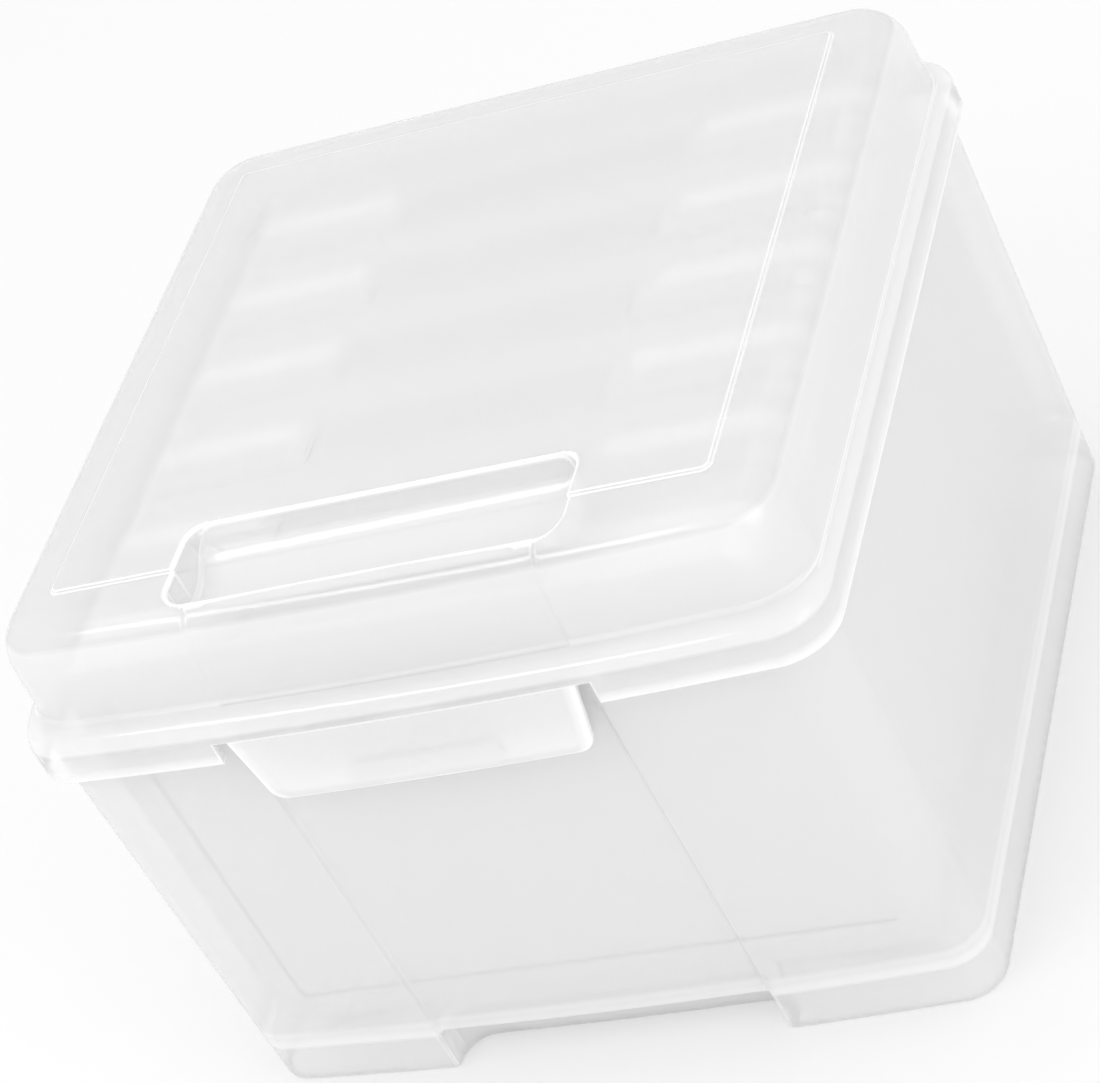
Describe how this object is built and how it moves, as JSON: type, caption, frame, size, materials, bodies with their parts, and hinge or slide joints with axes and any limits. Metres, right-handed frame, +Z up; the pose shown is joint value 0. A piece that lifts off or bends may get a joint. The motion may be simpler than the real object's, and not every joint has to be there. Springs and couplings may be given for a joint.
{
  "type": "photo storage box",
  "caption": "Translucent plastic box with a hinged domed lid and a flexing front latch, holding a row of upright snap-shut photo cases that lift out.",
  "frame": {"origin": "centre of the closed box at the surface it stands on", "axes": "+X to the right as the latch is faced, +Y to the back, where the hinges are, +Z up"},
  "size_m": [0.194, 0.2052, 0.147],
  "materials": {
    "tub_plastic": "translucent moulded polypropylene, smooth",
    "lid_plastic": "translucent moulded polypropylene, smooth",
    "case_plastic": "translucent moulded polypropylene, satin"
  },
  "bodies": {
    "base": {"base_tub": "tub_plastic"},
    "lid": {"lid": "lid_plastic"},
    "latch": {"latch_tongue": "lid_plastic"},
    "inner_case_1": {"case_1_tray": "case_plastic", "case_1_cover": "case_plastic"},
    "inner_latch_1": {"case_1_latch": "case_plastic"},
    "inner_case_2": {"case_2_tray": "case_plastic", "case_2_cover": "case_plastic"},
    "inner_latch_2": {"case_2_latch": "case_plastic"},
    "inner_case_3": {"case_3_tray": "case_plastic", "case_3_cover": "case_plastic"},
    "inner_latch_3": {"case_3_latch": "case_plastic"},
    "inner_case_4": {"case_4_tray": "case_plastic", "case_4_cover": "case_plastic"},
    "inner_latch_4": {"case_4_latch": "case_plastic"},
    "inner_case_5": {"case_5_tray": "case_plastic", "case_5_cover": "case_plastic"},
    "inner_latch_5": {"case_5_latch": "case_plastic"},
    "inner_case_6": {"case_6_tray": "case_plastic", "case_6_cover": "case_plastic"},
    "inner_latch_6": {"case_6_latch": "case_plastic"}
  },
  "joints": [
    {"name": "lid_hinge", "type": "hinge", "parent": "base", "child": "lid", "pos_m": [0, 0.09861, 0.106], "axis": [-1, 0, 0], "range_deg": [0, 110]},
    {"name": "latch_flex", "type": "hinge", "parent": "lid", "child": "latch", "pos_m": [0, -0.1014, 0.1169], "axis": [-1, 0, 0], "range_deg": [0, 15], "stiffness_Nm_per_rad": 0.8},
    {"name": "case_1_lift", "type": "slide", "parent": "base", "child": "inner_case_1", "axis": [0, 0, 1], "range_m": [0, 0.108]},
    {"name": "case_1_latch_flex", "type": "hinge", "parent": "inner_case_1", "child": "inner_latch_1", "pos_m": [0, -0.08545, 0.13075], "axis": [1, 0, 0], "range_deg": [0, 6], "stiffness_Nm_per_rad": 0.2},
    {"name": "case_2_lift", "type": "slide", "parent": "base", "child": "inner_case_2", "axis": [0, 0, 1], "range_m": [0, 0.108]},
    {"name": "case_2_latch_flex", "type": "hinge", "parent": "inner_case_2", "child": "inner_latch_2", "pos_m": [0, -0.05655, 0.13075], "axis": [1, 0, 0], "range_deg": [0, 6], "stiffness_Nm_per_rad": 0.2},
    {"name": "case_3_lift", "type": "slide", "parent": "base", "child": "inner_case_3", "axis": [0, 0, 1], "range_m": [0, 0.108]},
    {"name": "case_3_latch_flex", "type": "hinge", "parent": "inner_case_3", "child": "inner_latch_3", "pos_m": [0, -0.02765, 0.13075], "axis": [1, 0, 0], "range_deg": [0, 6], "stiffness_Nm_per_rad": 0.2},
    {"name": "case_4_lift", "type": "slide", "parent": "base", "child": "inner_case_4", "axis": [0, 0, 1], "range_m": [0, 0.108]},
    {"name": "case_4_latch_flex", "type": "hinge", "parent": "inner_case_4", "child": "inner_latch_4", "pos_m": [0, 0.00125, 0.13075], "axis": [1, 0, 0], "range_deg": [0, 6], "stiffness_Nm_per_rad": 0.2},
    {"name": "case_5_lift", "type": "slide", "parent": "base", "child": "inner_case_5", "axis": [0, 0, 1], "range_m": [0, 0.108]},
    {"name": "case_5_latch_flex", "type": "hinge", "parent": "inner_case_5", "child": "inner_latch_5", "pos_m": [0, 0.03015, 0.13075], "axis": [1, 0, 0], "range_deg": [0, 6], "stiffness_Nm_per_rad": 0.2},
    {"name": "case_6_lift", "type": "slide", "parent": "base", "child": "inner_case_6", "axis": [0, 0, 1], "range_m": [0, 0.089]},
    {"name": "case_6_latch_flex", "type": "hinge", "parent": "inner_case_6", "child": "inner_latch_6", "pos_m": [0, 0.05905, 0.13075], "axis": [1, 0, 0], "range_deg": [0, 6], "stiffness_Nm_per_rad": 0.2}
  ],
  "couplings": [
    {"joint": "case_1_lift", "follows": "lid_hinge", "m_per_rad": 0.056},
    {"joint": "case_2_lift", "follows": "lid_hinge", "m_per_rad": 0.056},
    {"joint": "case_3_lift", "follows": "lid_hinge", "m_per_rad": 0.056},
    {"joint": "case_4_lift", "follows": "lid_hinge", "m_per_rad": 0.056},
    {"joint": "case_5_lift", "follows": "lid_hinge", "m_per_rad": 0.056},
    {"joint": "case_6_lift", "follows": "lid_hinge", "m_per_rad": 0.046}
  ]
}
